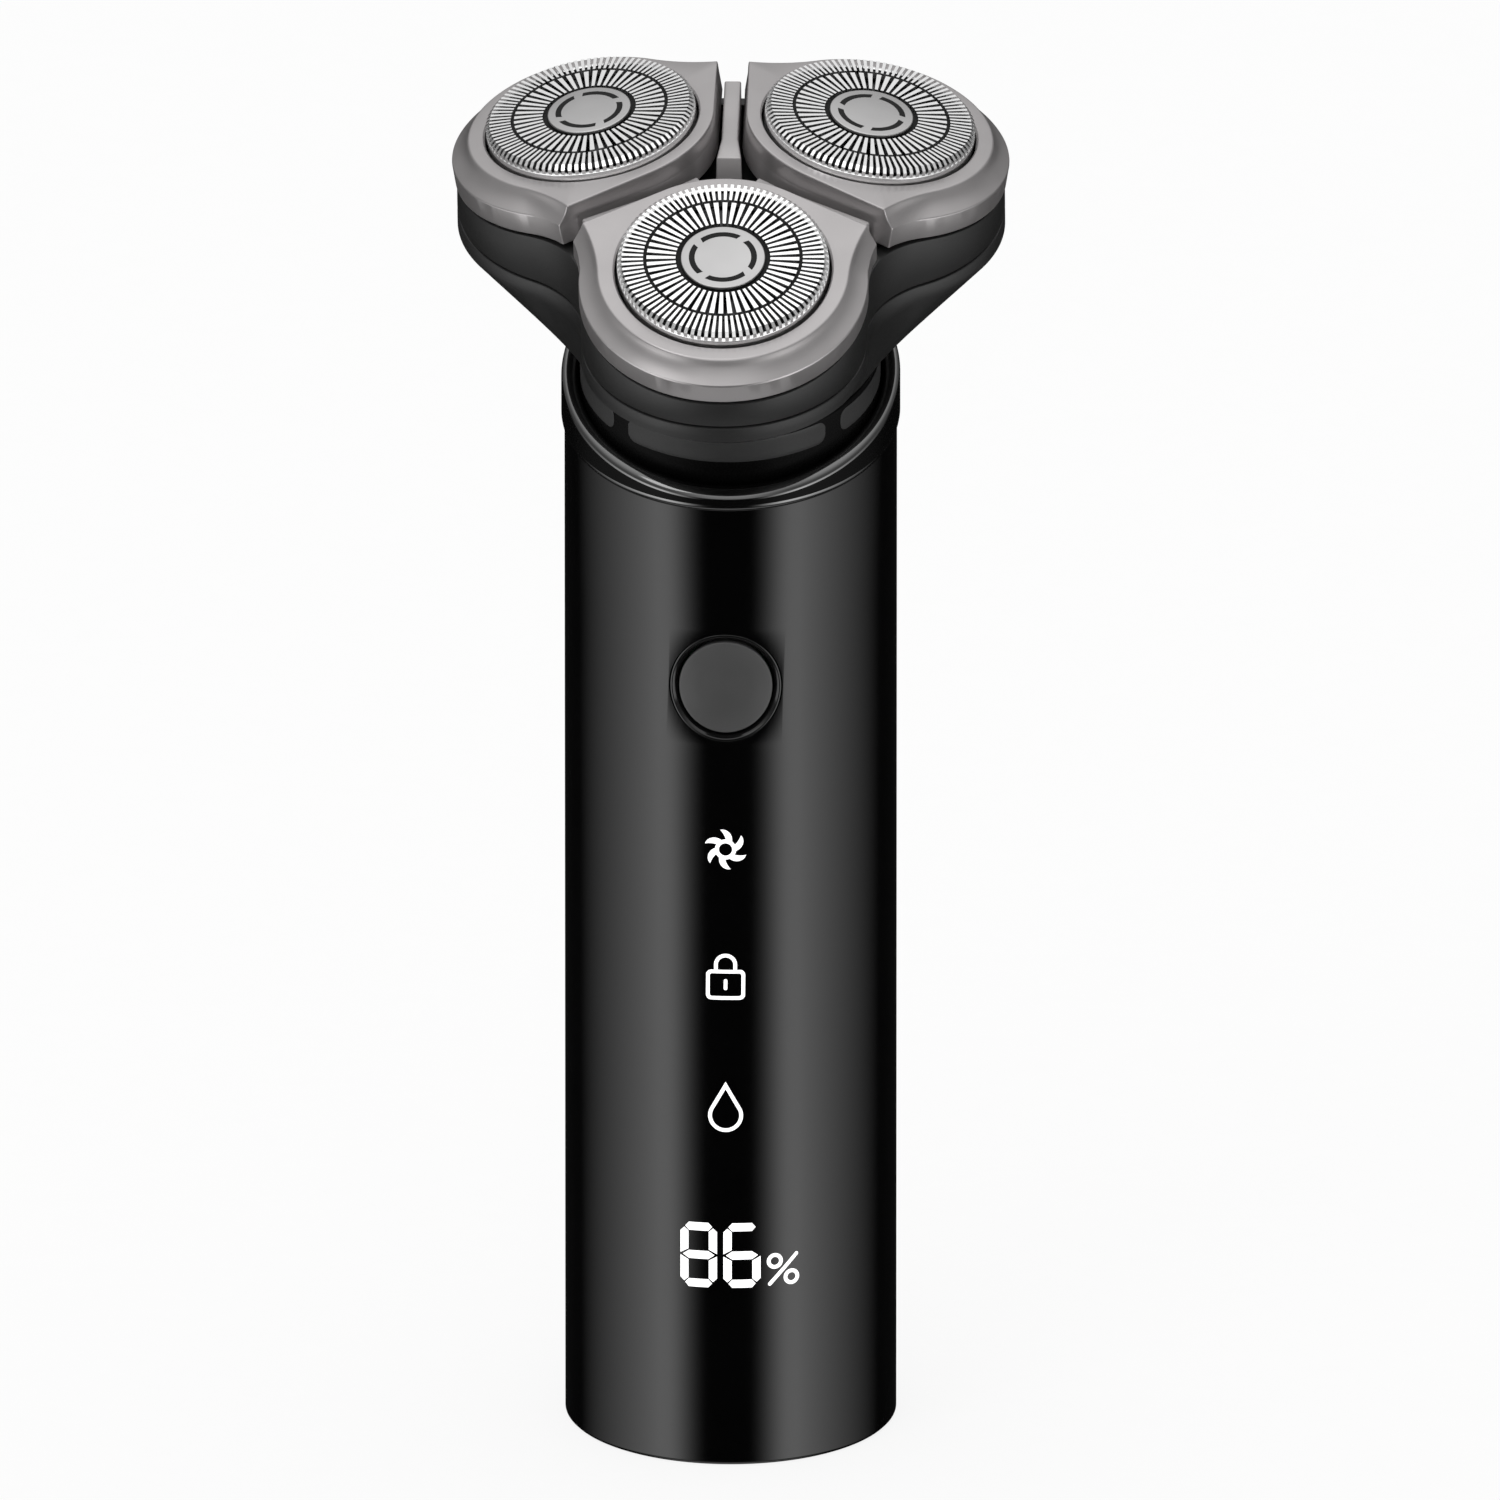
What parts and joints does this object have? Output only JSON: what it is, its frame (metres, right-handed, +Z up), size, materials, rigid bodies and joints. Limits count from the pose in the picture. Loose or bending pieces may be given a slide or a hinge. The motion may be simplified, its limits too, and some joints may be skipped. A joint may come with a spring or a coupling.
{
  "type": "electric shaver",
  "caption": "Cordless rotary shaver: round gloss black handle with button and lit signs, a forward-leaning three-lobed head of floating slotted foils over gear-driven cutters.",
  "frame": {"origin": "centre of the flat base, on the handle's axis", "axes": "+Z up along the handle, -Y towards the face with the button, +X to the right seen from there"},
  "size_m": [0.0636, 0.0603, 0.1614],
  "materials": {
    "sleeve_black": "deep gloss black lacquer",
    "neck_black": "polished black moulding",
    "neck_panel": "satin dark grey inlay",
    "button_grey": "fine satin grey",
    "head_black": "satin black moulding",
    "lobe_metal": "satin warm grey metallic",
    "spider_grey": "satin light grey moulding",
    "foil_steel": "polished slotted steel",
    "cap_steel": "satin steel cap",
    "cutter_steel": "ground steel blades",
    "gear_plastic": "natural acetal",
    "frame_plastic": "black glass-filled moulding",
    "cap_plastic": "fine textured black",
    "seal_rubber": "matt black rubber",
    "pin_steel": "bright turned steel",
    "magnet": "nickel plated",
    "motor_steel": "zinc plated steel can",
    "cell_wrap": null,
    "tab_nickel": "nickel strip",
    "board_green": "solder-masked board",
    "switch_black": "moulded switch",
    "display_white": "white digit module",
    "guide_clear": "clear acrylic"
  },
  "bodies": {
    "handle": {"body_sleeve": "sleeve_black", "neck_collar": "neck_black", "neck_housing": "neck_black", "neck_panels": "neck_panel", "seat_magnets": "magnet", "shaft_seal": "seal_rubber", "motor_mount": "frame_plastic", "motor_screws": "pin_steel", "motor_can": "motor_steel", "base_cap": "cap_plastic", "base_seal": "seal_rubber", "charge_socket": "pin_steel", "chassis": "frame_plastic", "battery_cell": "cell_wrap", "battery_tabs": "tab_nickel", "main_board": "board_green", "board_screws": "pin_steel", "display_module": "display_white", "light_guide": "guide_clear", "tact_switch": "switch_black", "button_bezel": "neck_black"},
    "button": {"power_button": "button_grey"},
    "rotor": {"motor_shaft": "pin_steel", "motor_armature": "motor_steel", "drive_coupling": "gear_plastic"},
    "head": {"head_upper_shell": "head_black", "head_lower_shell": "head_black", "keeper_ring": "pin_steel", "gear_plate": "frame_plastic", "plate_screws": "pin_steel", "gap_spider": "spider_grey", "tilt_pins": "pin_steel"},
    "centre_drive": {"centre_gear": "gear_plastic"},
    "drive_front": {"drive_gear_front": "gear_plastic"},
    "lobe_front": {"lobe_frame_front": "lobe_metal", "retaining_frame_front": "frame_plastic"},
    "foil_front": {"foil_disc_front": "foil_steel", "foil_cap_front": "cap_steel"},
    "cutter_front": {"inner_cutter_front": "cutter_steel"},
    "drive_right": {"drive_gear_right": "gear_plastic"},
    "lobe_right": {"lobe_frame_right": "lobe_metal", "retaining_frame_right": "frame_plastic"},
    "foil_right": {"foil_disc_right": "foil_steel", "foil_cap_right": "cap_steel"},
    "cutter_right": {"inner_cutter_right": "cutter_steel"},
    "drive_left": {"drive_gear_left": "gear_plastic"},
    "lobe_left": {"lobe_frame_left": "lobe_metal", "retaining_frame_left": "frame_plastic"},
    "foil_left": {"foil_disc_left": "foil_steel", "foil_cap_left": "cap_steel"},
    "cutter_left": {"inner_cutter_left": "cutter_steel"}
  },
  "joints": [
    {"name": "button_press", "type": "slide", "parent": "handle", "child": "button", "axis": [0, 1, 0], "range_m": [0, 0.0005], "stiffness_N_per_m": 800},
    {"name": "motor_spin", "type": "hinge", "parent": "handle", "child": "rotor", "pos_m": [0, -0.0103, 0.1556], "axis": [0, -0.2924, 0.9563], "continuous": true},
    {"name": "head_pull", "type": "slide", "parent": "handle", "child": "head", "axis": [0, -0.2924, 0.9563], "range_m": [0, 0.03]},
    {"name": "centre_spin", "type": "hinge", "parent": "head", "child": "centre_drive", "pos_m": [0, -0.0103, 0.1556], "axis": [0, -0.2924, 0.9563], "continuous": true},
    {"name": "drive_front_spin", "type": "hinge", "parent": "head", "child": "drive_front", "pos_m": [0, -0.0243, 0.14086], "axis": [0, -0.2924, 0.9563], "continuous": true},
    {"name": "lobe_front_tilt", "type": "hinge", "parent": "head", "child": "lobe_front", "pos_m": [0, -0.02373, 0.14161], "axis": [-1, 0, 0], "range_deg": [0, 4], "stiffness_Nm_per_rad": 0.05},
    {"name": "foil_front_float", "type": "slide", "parent": "lobe_front", "child": "foil_front", "axis": [0, 0.454, -0.891], "range_m": [0, 0.001], "stiffness_N_per_m": 600},
    {"name": "cutter_front_spin", "type": "hinge", "parent": "foil_front", "child": "cutter_front", "pos_m": [0, -0.02809, 0.15016], "axis": [0, -0.454, 0.891], "continuous": true},
    {"name": "drive_right_spin", "type": "hinge", "parent": "head", "child": "drive_right", "pos_m": [0.01533, 0.00109, 0.14862], "axis": [0, -0.2924, 0.9563], "continuous": true},
    {"name": "lobe_right_tilt", "type": "hinge", "parent": "head", "child": "lobe_right", "pos_m": [0.01466, 0.00056, 0.14903], "axis": [0.5, -0.8282, -0.2532], "range_deg": [0, 4], "stiffness_Nm_per_rad": 0.05},
    {"name": "foil_right_float", "type": "slide", "parent": "lobe_right", "child": "foil_right", "axis": [-0.1504, 0.2049, -0.9672], "range_m": [0, 0.001], "stiffness_N_per_m": 600},
    {"name": "cutter_right_spin", "type": "hinge", "parent": "foil_right", "child": "cutter_right", "pos_m": [0.01611, -0.00141, 0.15832], "axis": [0.1504, -0.2049, 0.9672], "continuous": true},
    {"name": "drive_left_spin", "type": "hinge", "parent": "head", "child": "drive_left", "pos_m": [-0.01533, 0.00109, 0.14862], "axis": [0, -0.2924, 0.9563], "continuous": true},
    {"name": "lobe_left_tilt", "type": "hinge", "parent": "head", "child": "lobe_left", "pos_m": [-0.01466, 0.00056, 0.14903], "axis": [0.5, 0.8282, 0.2532], "range_deg": [0, 4], "stiffness_Nm_per_rad": 0.05},
    {"name": "foil_left_float", "type": "slide", "parent": "lobe_left", "child": "foil_left", "axis": [0.1504, 0.2049, -0.9672], "range_m": [0, 0.001], "stiffness_N_per_m": 600},
    {"name": "cutter_left_spin", "type": "hinge", "parent": "foil_left", "child": "cutter_left", "pos_m": [-0.01611, -0.00141, 0.15832], "axis": [-0.1504, -0.2049, 0.9672], "continuous": true}
  ],
  "couplings": [
    {"joint": "centre_spin", "follows": "motor_spin", "ratio": 1},
    {"joint": "drive_front_spin", "follows": "motor_spin", "ratio": -0.68571},
    {"joint": "cutter_front_spin", "follows": "motor_spin", "ratio": -0.68571},
    {"joint": "drive_right_spin", "follows": "motor_spin", "ratio": -0.68571},
    {"joint": "cutter_right_spin", "follows": "motor_spin", "ratio": -0.68571},
    {"joint": "drive_left_spin", "follows": "motor_spin", "ratio": -0.68571},
    {"joint": "cutter_left_spin", "follows": "motor_spin", "ratio": -0.68571}
  ]
}
